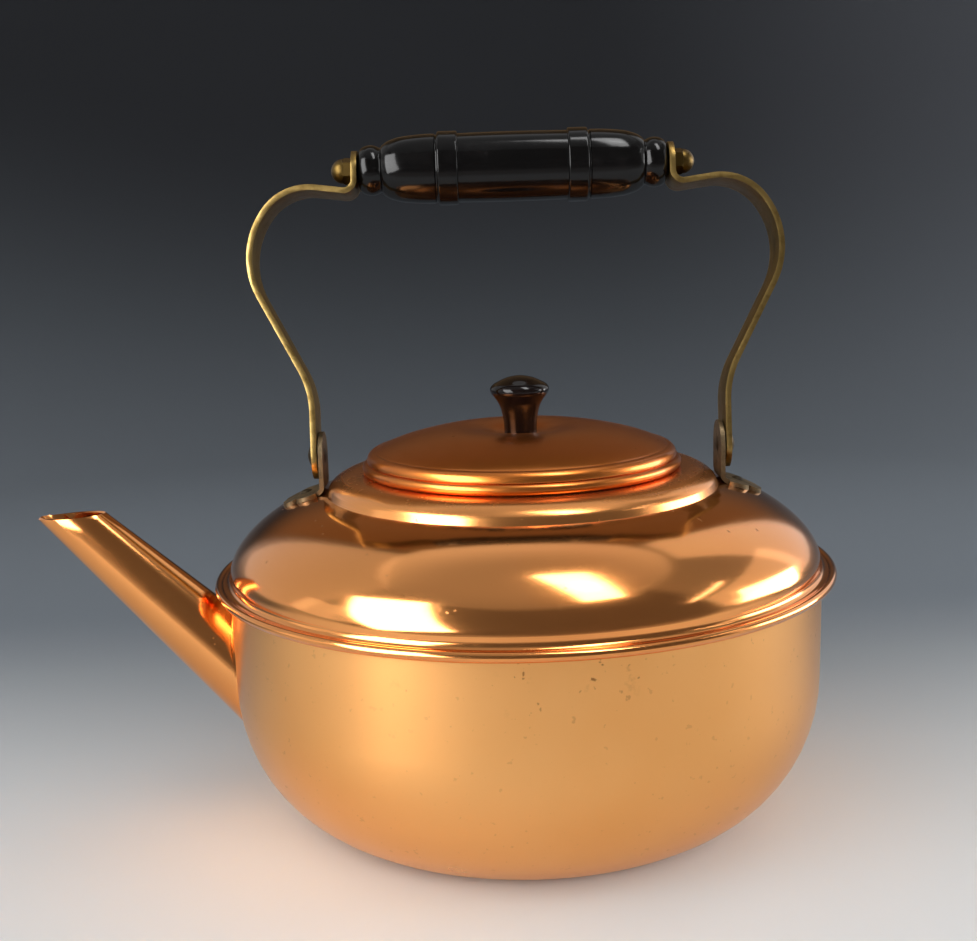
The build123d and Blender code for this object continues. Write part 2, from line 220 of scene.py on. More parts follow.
def joined(*sections):
    """One list of knots from sections that meet end to end."""
    knots = list(sections[0])
    for section in sections[1:]:
        section = list(section)
        if (section[0][0] - knots[-1][0]).length < 1e-4:
            point, before, _ = knots.pop()
            section[0] = (point, before, section[0][2])
        knots += section
    return knots


def drawn(name, knots, place, closed=False, detail=10):
    """A Bezier curve through knots, converted to a mesh of edges. place turns a knot into a point in metres."""
    bpy.ops.object.select_all(action="DESELECT")
    bpy.ops.curve.primitive_bezier_curve_add(location=(0, 0, 0))
    piece = name_piece(bpy.context.active_object, name)
    piece.data.resolution_u = detail
    spline = piece.data.splines[0]
    spline.bezier_points.add(len(knots) - 2)
    spline.use_cyclic_u = closed
    for target, (point, before, after) in zip(spline.bezier_points, knots):
        target.handle_left_type = target.handle_right_type = "FREE"
        target.co = place(point)
        target.handle_left = place(before)
        target.handle_right = place(after)
    bpy.ops.object.convert(target="MESH")
    return name_piece(bpy.context.active_object, name)


def opened(piece, action="SELECT", kind="VERT"):
    """Opens a piece in edit mode with all of it, or none of it, selected."""
    pick(piece)
    bpy.ops.object.mode_set(mode="EDIT")
    bpy.ops.mesh.select_mode(type=kind)
    bpy.ops.mesh.select_all(action=action)


def shut(piece):
    """Leaves edit mode."""
    bpy.ops.object.mode_set(mode="OBJECT")
    return piece


def merged(piece, distance=2e-6):
    """Welds doubles and turns every face outwards."""
    opened(piece)
    bpy.ops.mesh.remove_doubles(threshold=distance)
    bpy.ops.mesh.dissolve_degenerate(threshold=distance / 4)
    bpy.ops.mesh.normals_make_consistent(inside=False)
    return shut(piece)


def spun(piece, centre, axis, steps):
    """Spins an outline right round an axis."""
    opened(piece)
    bpy.ops.mesh.remove_doubles(threshold=1e-6)
    bpy.ops.mesh.spin(steps=steps, angle=math.tau, center=centre, axis=axis, use_auto_merge=True)
    return merged(shut(piece))


def turned(name, *sections, closed=False, detail=10, steps=192):
    """A piece spun about the kettle's axis from a (radius, height) outline in millimetres."""
    piece = drawn(name, joined(*sections), lambda p: (p.x * MM, 0, p.y * MM), closed, detail)
    return spun(piece, (0, 0, 0), (0, 0, 1), steps)


def turned_along_grip(name, *sections, closed=False, detail=8, steps=96):
    """A piece spun about the grip's axis from an (x, radius) outline in millimetres."""
    centre = GRIP_AXIS * MM
    piece = drawn(name, joined(*sections), lambda p: (p.x * MM, centre.y, centre.z + p.y * MM), closed, detail)
    return spun(piece, centre, (1, 0, 0), steps)


def modified(piece, kind, **settings):
    """Adds one modifier, sets it and applies it."""
    pick(piece)
    bpy.ops.object.modifier_add(type=kind)
    modifier = piece.modifiers[-1]
    for key, value in settings.items():
        setattr(modifier, key, value)
    bpy.ops.object.modifier_apply(modifier=modifier.name)
    return piece


def walled(piece, thickness, middle):
    """Gives a single sheet its thickness, inwards from the face that shows. middle lies inside the shell."""
    if sum(face.area * face.normal.dot(face.center - middle) for face in piece.data.polygons) < 0:
        opened(piece)
        bpy.ops.mesh.flip_normals()
        shut(piece)
    return modified(piece, "SOLIDIFY", thickness=thickness, offset=-1, use_even_offset=True)


def eased(piece, width, angle=28, segments=2):
    """Rounds every edge sharper than an angle."""
    return modified(piece, "BEVEL", width=width, segments=segments, limit_method="ANGLE",
                    angle_limit=math.radians(angle), use_clamp_overlap=True)


def smooth(piece, angle=35):
    """Shades a piece smooth, up to an angle between its faces."""
    pick(piece)
    bpy.ops.object.shade_smooth_by_angle(angle=math.radians(angle))
    return piece


def finished(piece, body, material, slot, *nodes):
    """Hands a piece to its body, with its finish and the CAD nodes it stands for."""
    piece.data.materials.clear()
    piece.data.materials.append(material)
    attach(piece, body)
    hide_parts(*nodes)
    return piece


def dressed(node, material):
    """Gives a CAD node a better material and leaves its shape alone."""
    target = frame["nodes"][node]
    for place in target.material_slots:
        place.material = material


# ---- shader helpers ---------------------------------------------------------------------------

class Value:
    """A shader socket that takes part in sums."""

    def __init__(self, shader, socket):
        self.shader = shader
        self.socket = socket

    def math(self, operation, *others):
        return self.shader.node("ShaderNodeMath", {"operation": operation}, self, *others)

    def __add__(self, other):
        return self.math("ADD", other)

    def __sub__(self, other):
        return self.math("SUBTRACT", other)

    def __rsub__(self, other):
        return self.shader.node("ShaderNodeMath", {"operation": "SUBTRACT"}, other, self)

    def __mul__(self, other):
        return self.math("MULTIPLY", other)

    def __truediv__(self, other):
        return self.math("DIVIDE", other)

    def __pow__(self, other):
        return self.math("POWER", other)

    __radd__ = __add__
    __rmul__ = __mul__

    def abs(self):
        return self.math("ABSOLUTE")

    def larger(self, other):
        return self.math("MAXIMUM", other)

    def between(self, low, high):
        """0 below low, 1 above high, and a smooth step between."""
        settings = {"interpolation_type": "SMOOTHSTEP", "clamp": True}
        return self.shader.node("ShaderNodeMapRange", settings, self, low, high)


class Shader:
    """Builds one material's nodes."""

    def __init__(self, name, world=None):
        owner = world or bpy.data.materials.new(name)
        owner.use_nodes = True
        self.owner = owner
        self.tree = owner.node_tree
        self.tree.nodes.clear()

    def node(self, kind, settings, *inputs, output=0, **named):
        """Makes a node: settings first, then its sockets in order or by name."""
        made = self.tree.nodes.new(kind)
        for key, value in settings.items():
            setattr(made, key, value)
        for socket, value in [(made.inputs[i], v) for i, v in enumerate(inputs)] + \
                [(made.inputs[k], v) for k, v in named.items()]:
            if isinstance(value, Value):
                self.tree.links.new(value.socket, socket)
            elif value is not None:
                socket.default_value = value
        return Value(self, made.outputs[output]) if made.outputs else made

    def place(self):
        return self.node("ShaderNodeTexCoord", {}, output="Object")

    def split(self, vector):
        apart = self.node("ShaderNodeSeparateXYZ", {}, vector)
        outputs = apart.socket.node.outputs
        return [Value(self, outputs[i]) for i in range(3)]

    def vector(self, x, y, z):
        return self.node("ShaderNodeCombineXYZ", {}, x, y, z)

    def noise(self, vector, scale, detail=3.0, roughness=0.5, distortion=0.0):
        return self.node("ShaderNodeTexNoise", {}, Vector=vector, Scale=scale, Detail=detail,
                         Roughness=roughness, Distortion=distortion)

    def mix(self, factor, first, second):
        """A colour between two colours."""
        made = self.tree.nodes.new("ShaderNodeMix")
        made.data_type = "RGBA"
        for socket, value in ((made.inputs[0], factor), (made.inputs[6], first), (made.inputs[7], second)):
            if isinstance(value, Value):
                self.tree.links.new(value.socket, socket)
            elif isinstance(value, float):
                socket.default_value = value
            else:
                socket.default_value = (*value, 1)
        return Value(self, made.outputs[2])

    def bump(self, height, strength, distance):
        return self.node("ShaderNodeBump", {}, Strength=strength, Distance=distance, Height=height)

    def surface(self, **sockets):
        """Ends the material with one Principled shader."""
        fixed = {key.replace("_", " "): value for key, value in sockets.items()}
        shader = self.node("ShaderNodeBsdfPrincipled", {}, **fixed)
        self.node("ShaderNodeOutputMaterial", {}, shader)
        return self.owner


def ring_place(shader):
    """A point's place, and its radius and height, in metres."""
    place = shader.place()
    x, y, z = shader.split(place)
    radius = (x * x + y * y) ** 0.5
    return place, radius, z


def spun_lines(shader, radius, height, pitch):
    """The fine rings that a spinning tool leaves, as a value about 0.5."""
    rings = shader.vector(radius / (pitch * 8), height / pitch, 0.0)
    return shader.noise(rings, 1.0, detail=2.0, roughness=0.6)


def satin_copper(finish):
    """Bowl: satin sheet brushed round its axis, with small tarnish specks and a cloudy bloom."""
    s = Shader("satin_copper")
    place, radius, height = ring_place(s)
    cloud = s.noise(place, 14.0, detail=3.0)
    specks = s.noise(place, 330.0, detail=2.0, roughness=0.65).between(0.66, 0.72)
    thick = s.noise(place, 30.0, detail=1.0).between(0.48, 0.62)
    near_rim = height.between(0.060, 0.086)
    above_base = height.between(0.0, 0.02)
    specks = specks * (near_rim * thick * 0.8 + above_base * 0.22)
    blots = s.noise(place, 120.0, detail=4.0, roughness=0.7).between(0.60, 0.72) * near_rim * thick
    colour = s.mix(cloud.between(0.35, 0.75), finish.satin_copper,
                   [c * f for c, f in zip(finish.satin_copper, (0.97, 0.91, 0.82))])
    colour = s.mix((specks * 0.8).larger(blots * 0.30), colour, finish.tarnish)
    roughness = cloud * 0.10 + specks * 0.2 + 0.24
    return s.surface(Base_Color=colour, Metallic=1.0, Roughness=roughness, Anisotropic=0.56,
                     Anisotropic_Rotation=0.25)


def bright_copper(finish, name="bright_copper", base=0.085, painted_shade=(1.0, 1.0, 1.0)):
    """Dome, lid and spout: polished sheet, wiping marks, dust, deeper colour in patches; painted shade on the lid."""
    s = Shader(name)
    place, radius, height = ring_place(s)
    cloud = s.noise(place, 9.0, detail=3.0, distortion=0.6)
    lines = spun_lines(s, radius, height, 0.0011)
    wipes = s.noise(place, 160.0, detail=2.0, roughness=0.7, distortion=1.5).between(0.55, 0.85)
    specks = s.noise(place, 260.0, detail=1.0).between(0.76, 0.80)
    # Painted shade: the lid's copy of this copper is multiplied down here, darker and browner than the dome's.
    sheet = [c * t for c, t in zip(finish.bright_copper, painted_shade)]
    colour = s.mix(cloud.between(0.3, 0.8), sheet, [c * f for c, f in zip(sheet, (0.95, 0.86, 0.78))])
    colour = s.mix(specks * 0.5, colour, finish.tarnish)
    collar = 1 - radius.between(0.066, 0.076)
    dulled = collar * height.between(0.11, 0.12)
    roughness = cloud * 0.06 + lines * 0.03 + wipes * 0.05 + specks * 0.2 + dulled * 0.14 + base
    return s.surface(Base_Color=colour, Metallic=1.0, Roughness=roughness, Coat_Weight=0.25, Coat_Roughness=0.06,
                     Normal=s.bump(lines, 0.05, 0.0002))


def old_brass(finish, name="old_brass", edge=0.0079, shade=1.0):
    """Straps and nuts: dull olive brass, darker bloom, and a brighter, smoother band in patches along strap edges."""
    s = Shader(name)
    place = s.place()
    _, y, z = s.split(place)
    across = (y * math.cos(LEAN) - (z - PIVOT.z) * math.sin(LEAN)).abs()
    bloom = s.noise(place, 110.0, detail=5.0, roughness=0.7).between(0.25, 0.80)
    edge_patches = s.noise(place, 300.0, detail=2.0).between(0.15, 0.6)
    # A band just inside each long edge of a strap gets the edge colour and less roughness, broken into patches.
    brighter = across.between(edge - 0.0006, edge + 0.0002) * edge_patches
    clean = [c * shade for c in finish.old_brass]
    dark = [c * f for c, f in zip(clean, (0.62, 0.58, 0.58))]
    colour = s.mix(bloom * 0.75, clean, dark)
    colour = s.mix(brighter * 0.7, colour, finish.edge_brass)
    roughness = bloom * 0.14 - brighter * 0.06 + 0.34
    return s.surface(Base_Color=colour, Metallic=1.0, Roughness=roughness,
                     Normal=s.bump(bloom, 0.08, 0.0002))


def lug_metal(finish, name="lug_metal", shade=1.0):
    """Lugs and rivets: grey-olive tarnish with pale rubbed spots."""
    s = Shader(name)
    place = s.place()
    bloom = s.noise(place, 160.0, detail=5.0, roughness=0.7)
    base = [c * shade for c in finish.lug_metal]
    pale = [c * 1.7 for c in base]
    dark = [c * 0.4 for c in base]
    colour = s.mix(bloom.between(0.35, 0.62), dark, base)
    colour = s.mix(bloom.between(0.60, 0.78), colour, pale)
    return s.surface(Base_Color=colour, Metallic=0.9, Roughness=0.62 - bloom * 0.3,
                     Normal=s.bump(bloom, 0.25, 0.0002))


def lacquer(finish, name="black_lacquer", tint=(1.0, 1.0, 1.0), roughness=0.09):
    """Grip and knob: turned wood under glossy black lacquer, with faint handling marks."""
    s = Shader(name)
    place = s.place()
    marks = s.noise(place, 120.0, detail=4.0, roughness=0.65)
    ripple = s.noise(place, 45.0, detail=2.0)
    colour = [c * t for c, t in zip(finish.lacquer, tint)]
    brighter = [c * 2.4 for c in colour]
    return s.surface(Base_Color=s.mix(marks.between(0.5, 0.8), colour, brighter), Metallic=0.0, IOR=1.33,
                     Roughness=marks * 0.10 + roughness, Normal=s.bump(ripple, 0.06, 0.0006))


def plain_steel():
    """Rod, washer and screw."""
    s = Shader("plain_steel")
    grain = s.noise(s.place(), 400.0, detail=3.0)
    return s.surface(Base_Color=s.mix(grain, (0.36, 0.35, 0.33), (0.52, 0.50, 0.47)), Metallic=1.0,
                     Roughness=grain * 0.2 + 0.25)


MATERIALS = {}
# Painted shade: multiplies the bright copper's colour for the lid, darker and browner than the dome.
LID_PAINTED_SHADE = (0.68, 0.51, 0.31)
WARM_BLACK = (2.4, 1.4, 1.2)


def material(name):
    """Each finish is made once and shared."""
    finish = bpy.context.scene.kettle_finish
    makers = {
        "satin_copper": lambda: satin_copper(finish),
        "bright_copper": lambda: bright_copper(finish),
        "spout_copper": lambda: bright_copper(finish, "spout_copper", 0.10),
        # The lid takes a darker, browner copy of the bright copper: painted shade.
        "lid_copper": lambda: bright_copper(finish, "lid_copper", 0.11, LID_PAINTED_SHADE),
        "old_brass": lambda: old_brass(finish),
        "nut_brass": lambda: old_brass(finish, "nut_brass", edge=0.02, shade=0.6),
        "lug_metal": lambda: lug_metal(finish),
        # The rivets take the lug metal at 0.4 of its brightness, darker all over.
        "rivet_metal": lambda: lug_metal(finish, "rivet_metal", shade=0.4),
        "black_lacquer": lambda: lacquer(finish),
        "knob_lacquer": lambda: lacquer(finish, "knob_lacquer", WARM_BLACK, 0.05),
        "plain_steel": plain_steel,
    }
    if name not in MATERIALS:
        MATERIALS[name] = makers[name]()
    return MATERIALS[name]


# ---- body --------------------------------------------------------------------------------------

OUTLINE_DETAIL = 14     # steps along each curve of the sheet's outline
FLANGE_FOLD = 0.9       # radius at which the bowl's rim turns out
FLARE = 2.2             # radius at which the dome's foot turns out
NECK_DEPTH = 8.5        # how far the neck reaches under the lid's seat

# Points on the dome's outline, as radius and height.
COLLAR_FOOT = (71.0, 120.4)
COLLAR_TOP = (70.1, 122.6)
COLLAR_ROUND = (66.2, 125.8)


def bowl_outline(sizes, grow=0.0):
    """Outer face of the bowl from the middle of the base to the seam."""
    base = sizes.base_radius / MM
    belly = sizes.belly_radius / MM
    height = sizes.belly_height / MM
    return (line((0, -grow), (base, -grow)),
            arc((base, height), (belly - base + grow, height + grow), -90, 0))


class KETTLE_OT_bowl(bpy.types.Operator):
    """Spins the bowl from its outline and gives the sheet its thickness"""
    bl_idname = "kettle.bowl"
    bl_label = "Bowl"

    def execute(self, context):
        sizes = context.scene.kettle_sizes
        rim = sizes.rim_radius / MM
        flange_z = SEAM_Z - sizes.sheet / MM
        flange_end = BEAD_R - BEAD_WIRE + 0.4
        bowl = turned(
            "bowl_sheet",
            *bowl_outline(sizes),
            line((rim, flange_z - FLANGE_FOLD)),
            arc((rim + FLANGE_FOLD, flange_z - FLANGE_FOLD), FLANGE_FOLD, 180, 90),
            line((flange_end, flange_z)),
            detail=OUTLINE_DETAIL,
        )
        walled(bowl, sizes.sheet, Vector((0, 0, SEAM_Z * MM)))
        cutter = spout_tube("spout_hole", grow=-SPOUT_SHEET, start=-26, past=3)
        modified(bowl, "BOOLEAN", operation="DIFFERENCE", object=cutter, solver="EXACT")
        bpy.data.objects.remove(cutter)
        smooth(bowl, 30)
        finished(bowl, "kettle", material("satin_copper"), "bowl_copper", "bowl")
        return {"FINISHED"}


def dome_wall(sizes):
    """Outer face of the dome from its flare up to the foot of the collar."""
    wall = sizes.dome_radius / MM
    straight_top = 95.0
    foot = Vector((wall, straight_top))
    rising = Vector((wall, straight_top + 6.2))
    shoulder = Vector((94.0, 116.0))
    top = Vector(COLLAR_FOOT)
    sweep = [(foot, foot, rising), (top, shoulder, top)]
    return joined(line((wall, SEAM_Z + sizes.sheet / MM + FLARE), foot), sweep)


class KETTLE_OT_dome(bpy.types.Operator):
    """Spins the dome: flared foot, wall, riser, collar, lid seat and neck in one sheet"""
    bl_idname = "kettle.dome"
    bl_label = "Dome"

    def execute(self, context):
        sizes = context.scene.kettle_sizes
        sheet = sizes.sheet / MM
        flare_r = sizes.dome_radius / MM + FLARE
        ledge_end = BEAD_R - BEAD_WIRE + 0.5
        ledge_z = SEAM_Z + sheet
        neck = sizes.neck_radius / MM
        dome = turned(
            "dome_sheet",
            line((ledge_end, ledge_z), (flare_r, ledge_z)),
            arc((flare_r, ledge_z + FLARE), FLARE, 270, 180),
            dome_wall(sizes),
            line(COLLAR_TOP),
            flow(COLLAR_TOP, COLLAR_ROUND, (60.8, SEAT_Z), start=(-0.5, 1), end=(-1, 0.05)),
            line((neck + sheet, SEAT_Z)),
            arc((neck + sheet, SEAT_Z - sheet), sheet, 90, 180),
            line((neck, SEAT_Z - NECK_DEPTH)),
            detail=OUTLINE_DETAIL,
        )
        walled(dome, sizes.sheet, Vector((0, 0, SEAM_Z * MM)))
        eased(dome, 0.35 * MM)
        smooth(dome, 40)
        finished(dome, "kettle", material("bright_copper"), "dome_copper", "dome")
        return {"FINISHED"}


class KETTLE_OT_seam(bpy.types.Operator):
    """Spins the rolled bead that grips the bowl and the dome"""
    bl_idname = "kettle.seam"
    bl_label = "Rolled seam"

    def execute(self, context):
        bead = turned("seam_roll", arc((BEAD_R, SEAM_Z), BEAD_WIRE, 0, 360)[:-1], closed=True, detail=8)
        smooth(bead, 60)
        finished(bead, "kettle", material("bright_copper"), "dome_copper", "seam_bead")
        return {"FINISHED"}


# ---- spout -------------------------------------------------------------------------------------

SPOUT_WALL = Vector((-108.1, 0, 56.9))      # where the centre line meets the bowl
SPOUT_MOUTH = Vector((-166.2, 0, 113.7))
SPOUT_DIPS = math.radians(3.5)              # slope of the mouth
SPOUT_BASE = (28.6, 29.4)                   # across and deep, at the wall
SPOUT_TIP = (13.0, 18.2)                    # across and deep, at the mouth
SPOUT_SHEET = 1.0
SPOUT_RINGS = 12
FLANGE_WIDTH = 2.8
FLANGE_SHEET = 0.8


def spout_matrix(distance):
    """A frame square to the spout's centre line: X across, Y deep, Z along it."""
    along = (SPOUT_MOUTH - SPOUT_WALL).normalized()
    across = Vector((0, 1, 0))
    deep = along.cross(across)
    turn = Matrix((across, deep, along)).transposed().to_4x4()
    return Matrix.Translation((SPOUT_WALL + along * distance) * MM) @ turn


def spout_oval(distance, grow):
    """Half width and half depth of the spout at a distance out from the wall."""
    share = distance / (SPOUT_MOUTH - SPOUT_WALL).length
    return [(base + (tip - base) * share) / 2 + grow for base, tip in zip(SPOUT_BASE, SPOUT_TIP)]


def spout_tube(name, grow, start, past):
    """A closed tapered oval, drawn out ring by ring from before the wall to past the mouth."""
    length = (SPOUT_MOUTH - SPOUT_WALL).length
    bpy.ops.object.select_all(action="DESELECT")
    bpy.ops.mesh.primitive_circle_add(vertices=96, radius=1, fill_type="NGON")
    tube = name_piece(bpy.context.active_object, name)
    opened(tube, kind="FACE")
    for _ in range(SPOUT_RINGS):
        bpy.ops.mesh.extrude_region_move(TRANSFORM_OT_translate={"value": (0, 0, 1)})
    shut(tube)
    for vertex in tube.data.vertices:
        ring = round(vertex.co.z)
        distance = start + (length + past - start) * ring / SPOUT_RINGS
        across, deep = spout_oval(distance, grow)
        flat = Vector((vertex.co.x * across * MM, vertex.co.y * deep * MM, 0))
        vertex.co = spout_matrix(distance) @ flat
    return merged(tube)


def cut_at_mouth(piece):
    """Cuts a piece off along the sloping mouth of the spout."""
    opened(piece)
    normal = (-math.sin(SPOUT_DIPS), 0, math.cos(SPOUT_DIPS))
    bpy.ops.mesh.bisect(plane_co=SPOUT_MOUTH * MM, plane_no=normal, clear_outer=True)
    return shut(piece)


def bowl_block(name, sizes, grow=0.0):
    """The bowl's whole outer volume, as a cutter."""
    top = SEAM_Z - 2
    rim = sizes.rim_radius / MM + grow
    return turned(name, *bowl_outline(sizes, grow), line((rim, top), (0, top)), detail=OUTLINE_DETAIL)


class KETTLE_OT_spout(bpy.types.Operator):
    """Draws out the spout, cuts its mouth and fits it and its flange to the bowl"""
    bl_idname = "kettle.spout"
    bl_label = "Spout and flange"

    def execute(self, context):
        sizes = context.scene.kettle_sizes
        spout = spout_tube("spout_cone", grow=0.0, start=-24, past=24)
        cut_at_mouth(spout)

        # The faces that close the two ends are deleted, and leave an open tube.
        opened(spout, "DESELECT", "FACE")
        shut(spout)
        for face in spout.data.polygons:
            face.select = len(face.vertices) > 8
        bpy.ops.object.mode_set(mode="EDIT")
        bpy.ops.mesh.delete(type="ONLY_FACE")
        shut(spout)
        walled(spout, SPOUT_SHEET * MM, (SPOUT_WALL + SPOUT_MOUTH) / 2 * MM)
        block = bowl_block("bowl_block", sizes)
        modified(spout, "BOOLEAN", operation="DIFFERENCE", object=block, solver="EXACT")
        eased(spout, 0.25 * MM, angle=50)
        smooth(spout, 30)
        finished(spout, "kettle", material("spout_copper"), "dome_copper", "spout")

        flange = spout_tube("spout_flange_strip", grow=FLANGE_WIDTH, start=-20, past=-60)
        skin = bowl_block("flange_skin", sizes, FLANGE_SHEET)
        modified(flange, "BOOLEAN", operation="INTERSECT", object=skin, solver="EXACT")
        modified(flange, "BOOLEAN", operation="DIFFERENCE", object=block, solver="EXACT")
        inner = spout_tube("flange_hole", grow=-0.3, start=-30, past=0)
        modified(flange, "BOOLEAN", operation="DIFFERENCE", object=inner, solver="EXACT")
        for helper in (block, skin, inner):
            bpy.data.objects.remove(helper)
        smooth(flange, 30)
        finished(flange, "kettle", material("bright_copper"), "dome_copper", "spout_flange")
        return {"FINISHED"}


# ---- bail --------------------------------------------------------------------------------------

# Sizes on the bail as it stands upright: heights from the pivots, X from the kettle's middle.
TAB_TOP = 109.8
STRAP_FOOT_X = 73.6
STRAP_BENDS = (3.8, 19.5, 29.0, 34.0)
PIVOT_HOLE = 2.45
ROD_HOLE = 3.05
CUTTER_X = 65           # between the foot of a strap and its tab


def leaned(upright):
    """A point drawn with the bail upright (x, up, depth), leaned back about the pivots, in metres."""
    x, up, depth = upright
    y = up * math.sin(LEAN) + depth * math.cos(LEAN)
    z = up * math.cos(LEAN) - depth * math.sin(LEAN)
    return Vector((x * MM, y * MM, PIVOT.z + z * MM))


def filleted(corners, radii):
    """Knots of straight runs with a round arc at each inner corner."""
    knots = line(corners[0])
    for before, corner, after, radius in zip(corners, corners[1:], corners[2:], radii):
        here = Vector(corner)
        back = (Vector(before) - here).normalized()
        ahead = (Vector(after) - here).normalized()
        half = back.angle(ahead) / 2
        reach = radius / math.tan(half)
        handle = 4 / 3 * math.tan((math.pi / 2 - half) / 2) * radius
        start = here + back * reach
        end = here + ahead * reach
        knots.append((start, start, start - back * handle))
        knots.append((end, end - ahead * handle, end))
    return knots + line(corners[-1])


def rod_cutter(height, radius, side):
    """A round bar along X at a height above the pivots on the bail, as a cutter."""
    bpy.ops.object.select_all(action="DESELECT")
    place = leaned((side * CUTTER_X, height, 0))
    bpy.ops.mesh.primitive_cylinder_add(
        vertices=64, radius=radius * MM, depth=40 * MM, location=place, rotation=(0, math.pi / 2, 0))
    cutter = bpy.context.active_object
    bpy.ops.object.transform_apply(location=True, rotation=True, scale=True)
    return cutter


def strap(name, side, sizes):
    """One bail strap: a bent band, cut to a round-ended outline and drilled for its pivot and rod."""
    width = sizes.strap_width / MM
    thick = sizes.strap_thickness / MM
    pivot_x = STRAP_FOOT_X + thick / 2
    tab_x = GRIP_END + 0.1 + thick / 2
    top = TAB_TOP - width / 2
    spare_end, spare_side = 3, 2
    shoulder, widest = (82.6, 97.4), (100.4, 73.2)
    corners = [(tab_x, TAB_TOP + spare_end), (tab_x, 93.9), shoulder, widest, (pivot_x, 23.6),
               (pivot_x, -width / 2 - spare_end)]
    knots = filleted(corners, STRAP_BENDS)
    piece = drawn(name, knots, lambda p: leaned((side * p.x, p.y, -width / 2 - spare_side)), detail=12)
    merged(piece, 1e-5)
    opened(piece)
    across = leaned((0, 0, width + 2 * spare_side)) - leaned((0, 0, 0))
    bpy.ops.mesh.extrude_region_move(TRANSFORM_OT_translate={"value": across})
    shut(piece)
    modified(piece, "SOLIDIFY", thickness=thick * MM, offset=0, use_even_offset=True)
    merged(piece, 1e-6)

    outline = joined(arc((0, top), width / 2, 0, 180), arc((0, 0), width / 2, 180, 360))
    blank = drawn("strap_outline", outline, lambda p: leaned((side * 40, p.y, p.x)), closed=True, detail=14)
    merged(blank, 1e-6)
    opened(blank)
    bpy.ops.mesh.edge_face_add()
    bpy.ops.mesh.extrude_region_move(TRANSFORM_OT_translate={"value": (side * 75 * MM, 0, 0)})
    merged(shut(blank))
    modified(piece, "BOOLEAN", operation="INTERSECT", object=blank, solver="EXACT")
    bpy.data.objects.remove(blank)
    for height, radius in ((0, PIVOT_HOLE), (BAIL_LENGTH, ROD_HOLE)):
        cutter = rod_cutter(height, radius, side)
        modified(piece, "BOOLEAN", operation="DIFFERENCE", object=cutter, solver="EXACT")
        bpy.data.objects.remove(cutter)
    eased(piece, 0.3 * MM, angle=50)
    return smooth(piece, 30)


class KETTLE_OT_straps(bpy.types.Operator):
    """Makes the two brass straps of the bail"""
    bl_idname = "kettle.straps"
    bl_label = "Straps"

    def execute(self, context):
        sizes = context.scene.kettle_sizes
        for side, name in ((1, "rear"), (-1, "front")):
            piece = strap(f"{name}_brass_strap", side, sizes)
            finished(piece, "bail", material("old_brass"), "strap_brass", f"{name}_strap")
        return {"FINISHED"}


def grip_half():
    """Half outline of the grip, from its middle to one end."""
    return joined(
        # Middle.
        flow((0, 12.5), (9.8, 12.45), (19.7, 12.3)),
        # Ring.
        line((19.8, 12.7)),
        arc((20.5, 12.6), (0.7, 0.6), 180, 90),
        line((26.4, 13.2)),
        arc((26.4, 12.4), 0.8, 90, 0),
        line((27.25, 12.1)),
        flow((27.25, 12.1), (27.7, 12.0), (28.1, 12.4)),
        # Outer part, groove and bulb.
        flow((28.1, 12.4), (35.5, 12.15), (42.9, 11.0), (45.8, 9.8), (47.4, 8.4), start=(1, 0.02), end=(0.55, -1)),
        flow((47.4, 8.4), (47.9, 8.0), (48.4, 8.2)),
        flow((48.4, 8.2), (51.9, 8.95), (55.0, 7.6), (GRIP_END, 5.0), start=(1, 0.6), end=(0.05, -1)),
    )


def mirrored(knots):
    """The same knots on the other side of the middle, in reverse order."""
    def flip(p):
        return Vector((-p.x, p.y))
    return [(flip(p), flip(after), flip(before)) for p, before, after in reversed(knots)]


class KETTLE_OT_grip(bpy.types.Operator):
    """Turns the black grip and dresses the rod through it"""
    bl_idname = "kettle.grip"
    bl_label = "Grip"

    def execute(self, context):
        half = grip_half()
        bore = 3.1
        grip = turned_along_grip(
            "turned_grip", mirrored(half)[:-1], half, line((GRIP_END, bore), (-GRIP_END, bore)),
            closed=True, detail=10)
        smooth(grip, 42)
        finished(grip, "bail", material("black_lacquer"), "black_lacquer", "grip")
        dressed("grip_rod", material("plain_steel"))
        return {"FINISHED"}


class KETTLE_OT_nuts(bpy.types.Operator):
    """Dresses the acorn nuts at both ends of the grip"""
    bl_idname = "kettle.nuts"
    bl_label = "Acorn nuts"

    def execute(self, context):
        for name in ("rear", "front"):
            dressed(f"{name}_acorn_nut", material("nut_brass"))
        return {"FINISHED"}


class KETTLE_OT_lugs(bpy.types.Operator):
    """Dresses the lugs, their foot rivets and the pivot rivets"""
    bl_idname = "kettle.lugs"
    bl_label = "Lugs and rivets"

    def execute(self, context):
        for name in ("rear", "front"):
            dressed(f"{name}_lug", material("lug_metal"))
            for rivet in ("lug_rivet", "pivot_rivet"):
                dressed(f"{name}_{rivet}", material("rivet_metal"))
        return {"FINISHED"}


# ---- lid ---------------------------------------------------------------------------------------

